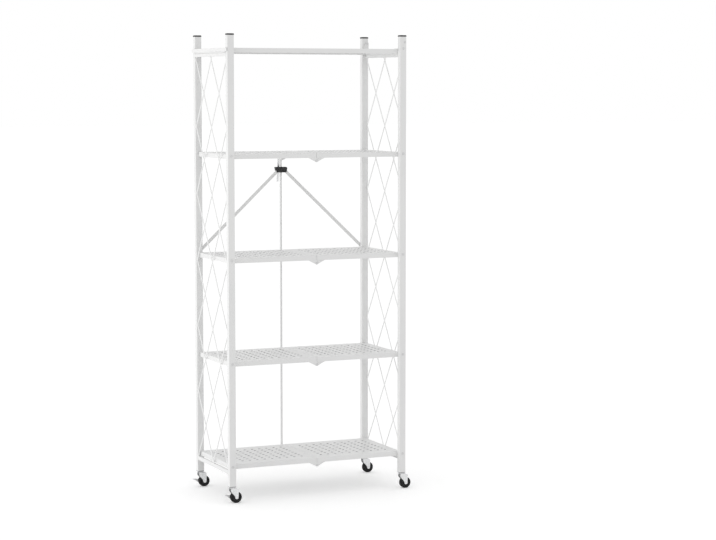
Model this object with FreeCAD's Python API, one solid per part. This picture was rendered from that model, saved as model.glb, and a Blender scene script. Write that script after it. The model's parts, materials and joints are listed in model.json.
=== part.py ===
import FreeCAD, Part

import math
import os

# Folding shelving unit on casters, modelled open and ready for use.
# Two side frames (posts, rails and a wire lattice) carry five perforated steel shelves.
# The top shelf is rigid and hinged to the right frame. Each shelf below it is two halves
# that fold upwards at a centre pin, so that the frames come together. A rod behind the
# shelves ties the centre pins to each other, and two braces with a sliding hub keep the
# unit square.
# X runs across the width (right is plus), Y from front to rear, Z up. The origin is on
# the floor under the middle of the posts. All lengths are in millimetres.

# Overall
unit_height = 1600.0
post_spacing_x = 642.0
post_spacing_y = 320.0

# Clearances shared by all pieces
clearance = 0.3
running_fit = 0.05
overrun = 5.0

# Posts: rectangular tube
post_size_x = 24.0
post_size_y = 19.0
post_wall = 1.0
post_corner_radius = 1.5
post_bottom_height = 58.0

# Plastic caps on the posts
cap_height = 5.0
cap_overhang = 1.0
cap_plug_depth = 14.0
cap_edge_radius = 1.5

# Rails of a side frame
rail_width = 9.5
rail_wall = 1.0
rail_corner_radius = 1.0
top_rail_height = 11.7
bottom_rail_height = 14.0
bottom_rail_bottom = 99.0

# Wire lattice of a side frame
wire_radius = 1.9
wire_inset = 4.0
lattice_rows = 12
lattice_columns = 4
lattice_end_drop = 9.0

# Shelves: pressed steel sheet with rims turned down
sheet = 1.0
rim_height = 16.0
bend_radius = 1.5
folding_shelf_count = 4
lowest_shelf_top = 131.0
shelf_pitch = 354.0
top_shelf_drop = 48.0

# Perforation of one field
hole_radius = 3.5
hole_pitch = 27.7
hole_columns = 10
hole_rows = 8
first_hole_inset = 36.5

# Outer pivots of the folding shelves
pivot_radius = 2.5
pivot_drop = 5.0
pivot_ear_radius = 4.8
shelf_end_overlap = 2.0
end_rim_relief = 6.0
rivet_head_radius = 4.5
front_head_height = 2.0
rear_head_height = 0.8
rivet_tail_radius = 3.3
rivet_tail_height = 1.2
head_round = 0.7

# Centre pins of the folding shelves
centre_gap = 0.8
centre_pin_drop = 10.0
ear_half_width = 30.5
ear_tip_radius = 5.0
lap_thickness = 1.5
lap_pad_start = 12.0

# Top shelf
lip_thickness = 3.0
lip_height = 12.0
lip_gap = 1.6
hinge_inset = 6.0
hinge_lift = 24.0
hinge_end_reach = 10.0
hinge_rim_stop = 5.0
hinge_end_rim_height = 7.0
hinge_ear_radius = 6.5
hinge_ear_length = 28.0
hinge_ear_thickness = 1.5
hinge_foot_width = 10.0
seam_width = 1.0
seam_depth = 0.5

# Rear linkage
brace_width = 11.0
brace_thickness = 3.0
hub_half_width = 22.5
hub_taper = 4.0
hub_height = 18.0
hub_thickness = 11.0
hub_drop = 42.0
hub_pivot_x = 16.0
hub_pivot_drop = 3.0
hub_round = 2.0
linkage_rod_radius = 4.0
rod_stand_off = 4.6
rod_end_length = 12.0
bush_radius = 7.0
bush_height = 18.0
bush_stand_off = 8.0
bush_wall = 3.5
brace_head_radius = 5.0
brace_head_height = 1.5

# Release lever on the hub
lever_length = 83.0
lever_top_share = 0.46
lever_width = 14.0
lever_strip_width = 7.0
lever_thickness = 3.0
lever_angle = 7.0
lever_pin_radius = 2.0
lug_width = 8.0
lug_radius = 6.0
lever_eye_radius = 5.0

# Casters
wheel_radius = 20.0
wheel_width = 16.0
wheel_edge_radius = 2.0
wheel_hub_radius = 12.0
wheel_recess = 2.5
caster_trail = 13.7
axle_radius = 3.0
axle_head_radius = 4.5
axle_head_height = 1.2
fork_gap = 1.0
fork_wall = 1.5
fork_top_length = 18.0
fork_foot_radius = 6.0
swivel_height = 5.0
fork_top_thickness = 2.0
raceway_radius = 9.0
stem_radius = 4.0
stem_length = 22.0
plug_collar_height = 2.0
plug_depth = 25.0
plug_bore_margin = 2.0

# Brake pedals of the left casters
pedal_reach = 35.0
pedal_length = 12.5
pedal_width = 10.0
pedal_height = 26.0
pedal_thickness = 2.0
pedal_arm_width = 8.0
pedal_arm_wall = 1.5

# Places worked out from the sizes above
half_x = post_spacing_x / 2
half_y = post_spacing_y / 2
post_top = unit_height - cap_height
post_outer_x = half_x + post_size_x / 2
post_inner_y = half_y - post_size_y / 2
post_outer_y = half_y + post_size_y / 2
shelf_half_depth = post_inner_y - clearance
top_shelf_top = unit_height - top_shelf_drop
top_rail_top = top_shelf_top - rim_height - clearance
top_rail_bottom = top_rail_top - top_rail_height
bottom_rail_top = bottom_rail_bottom + bottom_rail_height
shelf_tops = {
    folding_shelf_count + 1 - step: lowest_shelf_top + step * shelf_pitch
    for step in range(folding_shelf_count)
}
flange_inner_y = shelf_half_depth - sheet
lap_outer_y = flange_inner_y - clearance
lap_inner_y = lap_outer_y - lap_thickness
brace_shelf = folding_shelf_count - 1
hub_centre_height = shelf_tops[brace_shelf - 1] - rim_height - centre_pin_drop - hub_drop
brace_front_y = post_outer_y + rear_head_height + clearance
brace_rear_y = brace_front_y + brace_thickness
hub_front_y = brace_rear_y + clearance
rod_y = hub_front_y + rod_stand_off
hub_rear_y = hub_front_y + hub_thickness
fork_top_height = post_bottom_height - swivel_height
top_shelf_half_depth = post_inner_y - cap_overhang - clearance
hinge_x = post_outer_x - hinge_inset
hinge_z = top_shelf_top + hinge_lift
lip_inner_x = post_outer_x + lip_gap


def pivot_height(shelf):
    """Height of the outer pivots of a folding shelf."""
    return shelf_tops[shelf] - pivot_drop


def centre_pin_height(shelf):
    """Height of the centre pins of a folding shelf."""
    return shelf_tops[shelf] - rim_height - centre_pin_drop


# Shape helpers
def box(x_span, y_span, z_span):
    """Box between two places on each axis, given in any order."""
    spans = (x_span, y_span, z_span)
    low = FreeCAD.Vector(*[min(span) for span in spans])
    size = [max(span) - min(span) for span in spans]
    return Part.makeBox(size[0], size[1], size[2], low)


def bar(radius, start, end):
    """Round bar between two points."""
    start = FreeCAD.Vector(*start)
    along = FreeCAD.Vector(*end) - start
    return Part.makeCylinder(radius, along.Length, start, along)


def bar_y(radius, x, z, y_span):
    """Round bar along Y."""
    return bar(radius, (x, min(y_span), z), (x, max(y_span), z))


def plate_y(points, y_span):
    """Plate with an outline of (x, z) points, standing between two places on Y."""
    low = min(y_span)
    corners = [FreeCAD.Vector(x, low, z) for x, z in points]
    face = Part.Face(Part.makePolygon(corners + corners[:1]))
    return face.extrude(FreeCAD.Vector(0, max(y_span) - low, 0))


def plate_x(points, x_span):
    """Plate with an outline of (y, z) points, standing between two places on X."""
    low = min(x_span)
    corners = [FreeCAD.Vector(low, y, z) for y, z in points]
    face = Part.Face(Part.makePolygon(corners + corners[:1]))
    return face.extrude(FreeCAD.Vector(max(x_span) - low, 0, 0))


def join(shapes):
    """One solid made from shapes that touch or overlap."""
    return shapes[0].fuse(shapes[1:]).removeSplitter()


def mirror_x(shape):
    """Copy on the other side of the plane X = 0."""
    return shape.mirror(FreeCAD.Vector(0, 0, 0), FreeCAD.Vector(1, 0, 0))


def mirror_y(shape):
    """Copy on the other side of the plane Y = 0."""
    return shape.mirror(FreeCAD.Vector(0, 0, 0), FreeCAD.Vector(0, 1, 0))


def upright_edges(shape):
    """Edges of a box that run along Z."""
    return [edge for edge in shape.Edges
            if edge.BoundBox.XLength < clearance and edge.BoundBox.YLength < clearance]


def lengthwise_edges(shape):
    """Edges of a box that run along Y."""
    return [edge for edge in shape.Edges
            if edge.BoundBox.XLength < clearance and edge.BoundBox.ZLength < clearance]


def edges_at_height(shape, height):
    """Straight outer edges that lie at one height."""
    return [edge for edge in shape.Edges
            if edge.BoundBox.ZLength < running_fit
            and abs(edge.BoundBox.ZMin - height) < running_fit]


def tangent_point(corner, centre, radius, side):
    """Point where a line from a corner touches a circle; side is 1 or -1."""
    dx = corner[0] - centre[0]
    dz = corner[1] - centre[1]
    reach = math.hypot(dx, dz)
    angle = math.atan2(dz, dx) + side * math.acos(radius / reach)
    return (centre[0] + radius * math.cos(angle), centre[1] + radius * math.sin(angle))


def headed_pin(radius, x, z, head_y, tail_y, heads):
    """Round pin along Y. Each head is (radius, first y, second y)."""
    shapes = [bar_y(radius, x, z, (head_y, tail_y))]
    for head_radius, first, second in heads:
        head = bar_y(head_radius, x, z, (first, second))
        outer = max((first, second), key=abs)
        rim = [edge for edge in head.Edges
               if abs(edge.BoundBox.YMin - outer) < running_fit
               and edge.BoundBox.YLength < running_fit]
        round_radius = min(head_round, abs(second - first) / 2)
        shapes.append(head.makeFillet(round_radius, rim))
    return join(shapes)


# Side frames
def post(with_top_hinge):
    """Front post of the left frame: a tube with holes for the shelf pivots."""
    x_span = (-half_x - post_size_x / 2, -half_x + post_size_x / 2)
    y_span = (-post_outer_y, -post_inner_y)
    outer = box(x_span, y_span, (post_bottom_height, post_top))
    outer = outer.makeFillet(post_corner_radius, upright_edges(outer))
    inner = box(
        (x_span[0] + post_wall, x_span[1] - post_wall),
        (y_span[0] + post_wall, y_span[1] - post_wall),
        (post_bottom_height - overrun, post_top + overrun),
    )
    drill_span = (y_span[0] - overrun, y_span[1] + overrun)
    drills = [
        bar_y(pivot_radius + running_fit, -half_x, pivot_height(shelf), drill_span)
        for shelf in shelf_tops
    ]
    if with_top_hinge:
        drills.append(bar_y(pivot_radius + running_fit, -hinge_x, hinge_z, drill_span))
    return outer.cut(inner).cut(Part.makeCompound(drills))


def cap():
    """Cap on the front post of the left frame, with a plug inside the tube."""
    reach_x = post_size_x / 2 + cap_overhang
    reach_y = post_size_y / 2 + cap_overhang
    cover = box(
        (-half_x - reach_x, -half_x + reach_x),
        (-half_y - reach_y, -half_y + reach_y),
        (post_top, unit_height),
    )
    cover = cover.makeFillet(cap_edge_radius, upright_edges(cover))
    cover = cover.makeFillet(cap_edge_radius, edges_at_height(cover, unit_height))
    return join([cover, tube_plug(post_top - cap_plug_depth, post_top)])


def tube_plug(bottom, top):
    """Block that fills the front post of the left frame between two heights."""
    reach_x = post_size_x / 2 - post_wall - running_fit
    reach_y = post_size_y / 2 - post_wall - running_fit
    return box(
        (-half_x - reach_x, -half_x + reach_x),
        (-half_y - reach_y, -half_y + reach_y),
        (bottom, top),
    )


def rail(bottom, height):
    """Rail between the posts of the left frame, flush with their outer faces."""
    x_span = (-post_outer_x, -post_outer_x + rail_width)
    outer = box(x_span, (-post_inner_y, post_inner_y), (bottom, bottom + height))
    outer = outer.makeFillet(rail_corner_radius, lengthwise_edges(outer))
    inner = box(
        (x_span[0] + rail_wall, x_span[1] - rail_wall),
        (-post_inner_y - overrun, post_inner_y + overrun),
        (bottom + rail_wall, bottom + height - rail_wall),
    )
    return outer.cut(inner)


def lattice():
    """Crossing wires between the posts and rails of the left frame."""
    wire_x = -post_outer_x + wire_inset
    first_row = top_rail_bottom - lattice_end_drop
    last_row = bottom_rail_top + wire_radius
    row_step = (first_row - last_row) / lattice_rows
    column_step = 2 * post_inner_y / lattice_columns
    rows_beyond = lattice_columns / 2
    wires = []
    for row in range(0, lattice_rows + 1, 2):
        low = first_row - (row + rows_beyond) * row_step
        high = first_row - (row - rows_beyond) * row_step
        reach = rows_beyond * column_step
        for side in (-1, 1):
            wires.append(bar(wire_radius, (wire_x, -side * reach, low),
                             (wire_x, side * reach, high)))
    window = box(
        (wire_x - wire_radius - overrun, wire_x + wire_radius + overrun),
        (-post_inner_y, post_inner_y),
        (bottom_rail_top, top_rail_bottom),
    )
    return join(wires).common(window)


def shelf_pivots():
    """Rivets that carry the folding shelves on the left frame, front and rear."""
    rivets = []
    tail_y = flange_inner_y - clearance
    tail_end_y = tail_y - rivet_tail_height
    for shelf in shelf_tops:
        z = pivot_height(shelf)
        tail = (rivet_tail_radius, tail_y, tail_end_y)
        front = headed_pin(pivot_radius, -half_x, z, post_outer_y, tail_end_y,
                           [tail, (rivet_head_radius, post_outer_y,
                                   post_outer_y + front_head_height)])
        rivets.append(mirror_y(front))
        rear_heads = [tail, (rivet_head_radius, post_outer_y,
                             post_outer_y + rear_head_height)]
        rear_end = post_outer_y
        if shelf == brace_shelf:
            rear_end = brace_rear_y + clearance
            rear_heads.append((brace_head_radius, rear_end, rear_end + brace_head_height))
        rivets.append(headed_pin(pivot_radius, -half_x, z, rear_end, tail_end_y,
                                 rear_heads))
    return Part.makeCompound(rivets)


# Shelves
def hole_field(nearest_x, direction, top):
    """Drills of one perforated field; columns start at nearest_x."""
    drills = []
    first_y = -hole_pitch * (hole_rows - 1) / 2
    for column in range(hole_columns):
        x = nearest_x + direction * column * hole_pitch
        for row in range(hole_rows):
            y = first_y + row * hole_pitch
            drills.append(bar(hole_radius, (x, y, top - sheet - overrun),
                              (x, y, top + overrun)))
    return Part.makeCompound(drills)


def pan(x_span, half_depth, top, depth):
    """Sheet with rims of one depth turned down on four sides and a rounded bend."""
    low_x, high_x = x_span
    outer = box(x_span, (-half_depth, half_depth), (top - depth, top))
    outer = outer.makeFillet(bend_radius, edges_at_height(outer, top))
    inner = box(
        (low_x + sheet, high_x - sheet),
        (-half_depth + sheet, half_depth - sheet),
        (top - depth - overrun, top - sheet),
    )
    return outer.cut(inner)


def ear_outline(top):
    """Outline of the centre ear on the left of X = 0, and the place of its pin."""
    rim_bottom = top - rim_height
    pin = (0, rim_bottom - centre_pin_drop)
    corner = (-ear_half_width, rim_bottom)
    touch = tangent_point(corner, pin, ear_tip_radius, 1)
    inner_corner = (-centre_gap / 2, rim_bottom)
    return [corner, touch, pin, inner_corner], pin


def shelf_half(shelf, side):
    """Half of a folding shelf: side is 'left' or 'right'."""
    top = shelf_tops[shelf]
    rim_bottom = top - rim_height
    outer_x = -half_x - shelf_end_overlap
    shapes = [pan((outer_x, -centre_gap / 2), shelf_half_depth, top, rim_height)]
    outline, pin = ear_outline(top)
    flange = (-shelf_half_depth, -flange_inner_y)
    for turn in (lambda shape: shape, mirror_y):
        shapes.append(turn(bar_y(pivot_ear_radius, -half_x, pivot_height(shelf), flange)))
        if side == "left":
            shapes.append(turn(plate_y(outline, flange)))
            shapes.append(turn(bar_y(ear_tip_radius, pin[0], pin[1], flange)))
        else:
            lap = (-lap_outer_y, -lap_inner_y)
            tab_z = (rim_bottom - sheet, top - 2 * sheet)
            shapes.append(turn(plate_y(outline, lap)))
            shapes.append(turn(bar_y(ear_tip_radius, pin[0], pin[1], lap)))
            shapes.append(turn(box((-ear_half_width, -centre_gap / 2), lap, tab_z)))
            shapes.append(turn(box((-ear_half_width, -lap_pad_start),
                                   (-flange_inner_y, -lap_outer_y),
                                   (rim_bottom, tab_z[1]))))
    half = join(shapes)
    relief_y = flange_inner_y - end_rim_relief
    cuts = [hole_field(-first_hole_inset, -1, top)]
    for turn in (lambda shape: shape, mirror_y):
        cuts.append(turn(box((outer_x - overrun, outer_x + 2 * sheet),
                             (-flange_inner_y, -relief_y),
                             (rim_bottom - overrun, top - sheet))))
        cuts.append(turn(bar_y(pivot_radius + running_fit, -half_x, pivot_height(shelf),
                               (-shelf_half_depth - overrun, -lap_inner_y + sheet))))
        cuts.append(turn(bar_y(pivot_radius + running_fit, pin[0], pin[1],
                               (-shelf_half_depth - overrun, -lap_inner_y + overrun))))
    half = half.cut(Part.makeCompound(cuts))
    return mirror_x(half) if side == "right" else half


def centre_pins(shelf):
    """Front and rear centre pins of a folding shelf; the rear one reaches the rod."""
    z = centre_pin_height(shelf)
    tail_y = lap_inner_y - clearance
    tail_end_y = tail_y - rivet_tail_height
    tail = (rivet_head_radius, tail_y, tail_end_y)
    front = headed_pin(pivot_radius, 0, z, shelf_half_depth, tail_end_y,
                       [tail, (rivet_head_radius, shelf_half_depth,
                               shelf_half_depth + front_head_height)])
    rear = headed_pin(pivot_radius, 0, z, rod_y - linkage_rod_radius - clearance,
                      tail_end_y, [tail, (rivet_head_radius, shelf_half_depth,
                                          shelf_half_depth + rear_head_height)])
    return Part.makeCompound([mirror_y(front), rear])


# Top shelf
def top_shelf_panel():
    """Rigid top shelf between the posts, with two perforated fields and a seam."""
    top = top_shelf_top
    half_depth = top_shelf_half_depth
    rim_end_x = hinge_x - hinge_rim_stop
    end_x = hinge_x + hinge_end_reach
    main = pan((-lip_inner_x, rim_end_x), half_depth, top, rim_height)
    end = pan((rim_end_x - overrun, end_x), half_depth, top, hinge_end_rim_height)
    end_cut = box((rim_end_x - 2 * overrun, rim_end_x - sheet),
                  (-half_depth + sheet, half_depth - sheet),
                  (top - rim_height, top - sheet))
    fill_y = half_depth - bend_radius
    fill = box((rim_end_x - bend_radius, rim_end_x + bend_radius), (-fill_y, fill_y),
               (top - sheet, top))
    panel = join([main, end.cut(end_cut), fill])
    seam = box((-seam_width / 2, seam_width / 2),
               (-half_depth - overrun, half_depth + overrun),
               (top - seam_depth, top + overrun))
    fields = [hole_field(side * first_hole_inset, side, top) for side in (-1, 1)]
    return panel.cut(Part.makeCompound(fields)).cut(seam)


def top_shelf_end_lip():
    """Bar across the free end of the top shelf, outside the left posts."""
    reach_y = post_outer_y + clearance
    lip = box((-lip_inner_x - lip_thickness, -lip_inner_x), (-reach_y, reach_y),
              (top_shelf_top - lip_height, top_shelf_top))
    outer = [edge for edge in lengthwise_edges(lip)
             if edge.BoundBox.XMax < -lip_inner_x - lip_thickness / 2]
    return lip.makeFillet(head_round, outer)


def top_shelf_hinge_ears():
    """Brackets that stand on the top shelf beside the right posts."""
    foot_top = top_shelf_top + hinge_ear_thickness
    left_x = hinge_x - hinge_ear_length
    right_x = hinge_x + hinge_ear_radius
    eye = (hinge_x, hinge_z)
    low_left = (left_x, top_shelf_top)
    touch = tangent_point(low_left, eye, hinge_ear_radius, -1)
    side = (-top_shelf_half_depth, -top_shelf_half_depth + hinge_ear_thickness)
    outline = [low_left, (right_x, top_shelf_top), (right_x, hinge_z), eye, touch]
    foot = box((left_x, right_x), (side[0], side[0] + hinge_foot_width),
               (top_shelf_top, foot_top))
    ear = join([plate_y(outline, side), bar_y(hinge_ear_radius, eye[0], eye[1], side),
                foot])
    ear = ear.cut(bar_y(pivot_radius + running_fit, eye[0], eye[1],
                        (side[0] - overrun, side[1] + overrun)))
    return Part.makeCompound([ear, mirror_y(ear)])


def top_shelf_pivots():
    """Pins in the right posts on which the top shelf turns."""
    tail_y = top_shelf_half_depth - hinge_ear_thickness - clearance
    tail_end_y = tail_y - rivet_tail_height
    pin = headed_pin(pivot_radius, hinge_x, hinge_z, post_outer_y, tail_end_y,
                     [(rivet_head_radius, tail_y, tail_end_y),
                      (rivet_head_radius, post_outer_y, post_outer_y + rear_head_height)])
    return Part.makeCompound([pin, mirror_y(pin)])


# Rear linkage
def linkage_rod():
    """Upright rod that ties the centre pins of all folding shelves."""
    heights = [centre_pin_height(shelf) for shelf in shelf_tops]
    return bar(linkage_rod_radius, (0, rod_y, min(heights) - rod_end_length),
               (0, rod_y, max(heights) + rod_end_length))


def rod_bush(shelf):
    """Plastic bush that turns on a rear centre pin and grips the rod."""
    z = centre_pin_height(shelf)
    front_y = shelf_half_depth + bush_stand_off
    half = bush_height / 2
    body = join([
        bar_y(bush_radius, 0, z, (front_y, rod_y)),
        bar(linkage_rod_radius + bush_wall, (0, rod_y, z - half), (0, rod_y, z + half)),
    ])
    pin_bore = bar_y(pivot_radius + running_fit, 0, z, (front_y - overrun, rod_y))
    rod_bore = bar(linkage_rod_radius, (0, rod_y, z - half - overrun),
                   (0, rod_y, z + half + overrun))
    return body.cut(Part.makeCompound([pin_bore, rod_bore]))


def hub():
    """Slider on the rod that carries the upper ends of the braces and the lever."""
    half = hub_height / 2
    low = hub_centre_height - half
    high = hub_centre_height + half
    outline = [
        (-hub_half_width, high), (-hub_half_width + hub_taper, low),
        (hub_half_width - hub_taper, low), (hub_half_width, high),
    ]
    block = plate_y(outline, (hub_front_y, hub_rear_y))
    block = block.makeFillet(hub_round, lengthwise_edges(block))
    lug_span = (-lug_width / 2, lug_width / 2)
    lug = box(lug_span, (hub_rear_y, lever_axis_y()),
              (hub_centre_height - lug_radius, hub_centre_height + lug_radius))
    lug_end = bar(lug_radius, (lug_span[0], lever_axis_y(), hub_centre_height),
                  (lug_span[1], lever_axis_y(), hub_centre_height))
    body = join([block, lug, lug_end])
    rod_bore = bar(linkage_rod_radius + running_fit, (0, rod_y, low - overrun),
                   (0, rod_y, high + overrun))
    return body.cut(rod_bore).cut(lever_axis_bar(running_fit, lug_width))


def lever_axis_y():
    """Place of the lever's pivot behind the hub."""
    return hub_rear_y + lug_radius


def lever_axis_bar(extra_radius, width):
    """Round bar on the lever's axis, a little longer than the given width."""
    reach = width / 2 + lever_thickness
    return bar(lever_pin_radius + extra_radius,
               (-reach, lever_axis_y(), hub_centre_height),
               (reach, lever_axis_y(), hub_centre_height))


def release_lever():
    """Strip behind the hub that is pressed to free the slider."""
    axis_y = lever_axis_y()
    tilt = math.radians(lever_angle)
    front = axis_y + lug_radius + clearance
    above = lever_length * lever_top_share
    below = lever_length - above
    lean_above = above * math.tan(tilt)
    lean_below = below * math.tan(tilt)
    top_z = hub_centre_height + above
    bottom_z = hub_centre_height - below
    middle = front + lean_above
    outline = [
        (middle - lean_above, top_z), (middle + lean_below, bottom_z),
        (middle + lean_below + lever_thickness, bottom_z),
        (middle - lean_above + lever_thickness, top_z),
    ]
    x_span = (-lever_width / 2, lever_width / 2)
    strip = plate_x(outline, (-lever_strip_width / 2, lever_strip_width / 2))
    eye_ends = [(x_span[0], axis_y, hub_centre_height), (x_span[1], axis_y, hub_centre_height)]
    eye = bar(lever_eye_radius, eye_ends[0], eye_ends[1])
    arm = box(x_span, (axis_y, middle + lever_thickness / 2),
              (hub_centre_height - lever_eye_radius, hub_centre_height + lever_eye_radius))
    slot_reach = lug_width / 2 + clearance
    slot = box((-slot_reach, slot_reach), (hub_rear_y - overrun, front),
               (hub_centre_height - 2 * lug_radius, hub_centre_height + 2 * lug_radius))
    lever = join([strip, join([eye, arm]).cut(slot)])
    return lever.cut(bar(lever_pin_radius, eye_ends[0], eye_ends[1]))


def lever_pin():
    """Pin through the lever's cheeks and the hub's lug."""
    reach = lever_width / 2
    return bar(lever_pin_radius, (-reach, lever_axis_y(), hub_centre_height),
               (reach, lever_axis_y(), hub_centre_height))


def brace():
    """Flat bar from the left rear post up to the hub."""
    foot = (-half_x, pivot_height(brace_shelf))
    head = (-hub_pivot_x, hub_centre_height - hub_height / 2 + hub_pivot_drop)
    length = math.hypot(head[0] - foot[0], head[1] - foot[1])
    side_x = -(head[1] - foot[1]) / length * brace_width / 2
    side_z = (head[0] - foot[0]) / length * brace_width / 2
    y_span = (brace_front_y, brace_rear_y)
    strip = plate_y([
        (foot[0] + side_x, foot[1] + side_z), (foot[0] - side_x, foot[1] - side_z),
        (head[0] - side_x, head[1] - side_z), (head[0] + side_x, head[1] + side_z),
    ], y_span)
    ends = [bar_y(brace_width / 2, x, z, y_span) for x, z in (foot, head)]
    rivet = bar_y(rivet_head_radius, head[0], head[1],
                  (brace_front_y - rear_head_height, brace_front_y))
    body = join([strip, ends[0], ends[1], rivet])
    return body.cut(bar_y(pivot_radius + running_fit, foot[0], foot[1],
                          (brace_front_y - overrun, brace_rear_y + overrun)))


# Casters, all drawn under the front left post
def caster_plug():
    """Plastic plug in the post's lower end, with the bore for the caster's stem."""
    collar = box((-half_x - post_size_x / 2, -half_x + post_size_x / 2),
                 (-half_y - post_size_y / 2, -half_y + post_size_y / 2),
                 (post_bottom_height - plug_collar_height, post_bottom_height))
    collar = collar.makeFillet(post_corner_radius, upright_edges(collar))
    body = join([collar, tube_plug(post_bottom_height, post_bottom_height + plug_depth)])
    stem_top = fork_top_height + stem_length
    bore = bar(stem_radius + running_fit,
               (-half_x, -half_y, post_bottom_height - plug_collar_height - overrun),
               (-half_x, -half_y, stem_top + plug_bore_margin))
    return body.cut(bore)


def wheel_axis_x():
    """Place of the wheel's axle across the width."""
    return -half_x + caster_trail


def caster_fork():
    """Swivelling fork with its stem, raceway and two cheeks."""
    axis_x = wheel_axis_x()
    cheek_inner = wheel_width / 2 + fork_gap
    cheek_outer = cheek_inner + fork_wall
    half_top = fork_top_length / 2
    raceway_top = post_bottom_height - plug_collar_height - clearance
    top_low = fork_top_height - fork_top_thickness
    foot = (axis_x, wheel_radius)
    left_corner = (-half_x - half_top, top_low)
    right_corner = (-half_x + half_top, top_low)
    left_touch = tangent_point(left_corner, foot, fork_foot_radius, 1)
    right_touch = tangent_point(right_corner, foot, fork_foot_radius, -1)
    outline = [
        (left_corner[0], fork_top_height), left_corner, left_touch, foot, right_touch,
        right_corner, (right_corner[0], fork_top_height),
    ]
    shapes = [box((left_corner[0], right_corner[0]),
                  (-half_y - cheek_outer, -half_y + cheek_outer),
                  (top_low, fork_top_height))]
    for side in (-1, 1):
        span = (-half_y + side * cheek_inner, -half_y + side * cheek_outer)
        shapes.append(plate_y(outline, span))
        shapes.append(bar_y(fork_foot_radius, foot[0], foot[1], span))
    shapes.append(bar(raceway_radius, (-half_x, -half_y, top_low),
                      (-half_x, -half_y, raceway_top)))
    shapes.append(bar(stem_radius, (-half_x, -half_y, top_low),
                      (-half_x, -half_y, fork_top_height + stem_length)))
    fork = join(shapes)
    return fork.cut(bar_y(axle_radius, foot[0], foot[1],
                          (-half_y - cheek_outer - overrun,
                           -half_y + cheek_outer + overrun)))


def caster_wheel():
    """Wheel with a rounded tread and a recess on each side."""
    axis_x = wheel_axis_x()
    half = wheel_width / 2
    tread = bar_y(wheel_radius, axis_x, wheel_radius, (-half_y - half, -half_y + half))
    rims = [edge for edge in tread.Edges if edge.BoundBox.YLength < running_fit]
    tread = tread.makeFillet(wheel_edge_radius, rims)
    cuts = [bar_y(axle_radius + running_fit, axis_x, wheel_radius,
                  (-half_y - half - overrun, -half_y + half + overrun))]
    hub_collar_radius = axle_radius + wheel_recess
    for side in (-1, 1):
        floor_y = -half_y + side * (half - wheel_recess)
        mouth_y = -half_y + side * (half + overrun)
        ring = bar_y(wheel_hub_radius, axis_x, wheel_radius, (floor_y, mouth_y))
        cuts.append(ring.cut(bar_y(hub_collar_radius, axis_x, wheel_radius,
                                   (floor_y, mouth_y))))
    return tread.cut(Part.makeCompound(cuts))


def head_place(side, with_pedal):
    """Distance from the wheel's middle to the underside of the axle's head on one side."""
    reach = wheel_width / 2 + fork_gap + fork_wall
    return reach + clearance + pedal_arm_wall + clearance if with_pedal and side > 0 else reach


def caster_axle(with_pedal):
    """Axle with a head at each end. A pedal's arm sits under the rear head."""
    axis_x = wheel_axis_x()
    shapes = []
    for side in (-1, 1):
        reach = head_place(side, with_pedal)
        end = -half_y + side * (reach + axle_head_height)
        shapes.append(bar_y(axle_radius, axis_x, wheel_radius, (-half_y, end)))
        shapes.append(bar_y(axle_head_radius, axis_x, wheel_radius,
                            (-half_y + side * reach, end)))
    return join(shapes)


def brake_pedal():
    """Pedal that turns on the axle: an arm outside the fork's rear cheek and a bent tread."""
    axis_x = wheel_axis_x()
    arm_inner = -half_y + wheel_width / 2 + fork_gap + fork_wall + clearance
    span = (arm_inner, arm_inner + pedal_arm_wall)
    tip_x = axis_x - pedal_reach
    step_x = tip_x + pedal_length
    half_arm = pedal_arm_width / 2
    tread_low = pedal_height - pedal_thickness
    outline = [
        (axis_x, wheel_radius + half_arm), (axis_x, wheel_radius - half_arm),
        (tip_x, tread_low), (tip_x, pedal_height),
    ]
    pedal = join([
        plate_y(outline, span),
        bar_y(half_arm, axis_x, wheel_radius, span),
        box((tip_x, step_x), (arm_inner, arm_inner + pedal_width), (tread_low, pedal_height)),
    ])
    return pedal.cut(bar_y(axle_radius + running_fit, axis_x, wheel_radius,
                           (span[0] - overrun, span[1] + overrun)))


# Assembly
def frame_nodes(side):
    """Fixed pieces of one side frame."""
    turn = mirror_x if side == "right" else (lambda shape: shape)
    front_post = post(with_top_hinge=side == "right")
    pieces = {
        "front_post": front_post,
        "rear_post": mirror_y(front_post),
        "top_rail": rail(top_rail_bottom, top_rail_height),
        "bottom_rail": rail(bottom_rail_bottom, bottom_rail_height),
        "lattice": lattice(),
        "front_cap": cap(),
        "rear_cap": mirror_y(cap()),
        "shelf_pivots": shelf_pivots(),
        "front_caster_plug": caster_plug(),
        "rear_caster_plug": mirror_y(caster_plug()),
    }
    return {f"{side}_{name}": turn(shape) for name, shape in pieces.items()}


def caster_nodes(side, end):
    """Pieces of one caster. Every caster trails towards plus X."""
    shift = FreeCAD.Vector(post_spacing_x if side == "right" else 0,
                           post_spacing_y if end == "rear" else 0, 0)
    with_pedal = side == "left"
    pieces = {
        "fork": caster_fork(),
        "wheel": caster_wheel(),
        "axle": caster_axle(with_pedal),
    }
    if with_pedal:
        pieces["brake_pedal"] = brake_pedal()
    return {f"{side}_{end}_{name}": shape.translated(shift)
            for name, shape in pieces.items()}


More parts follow.
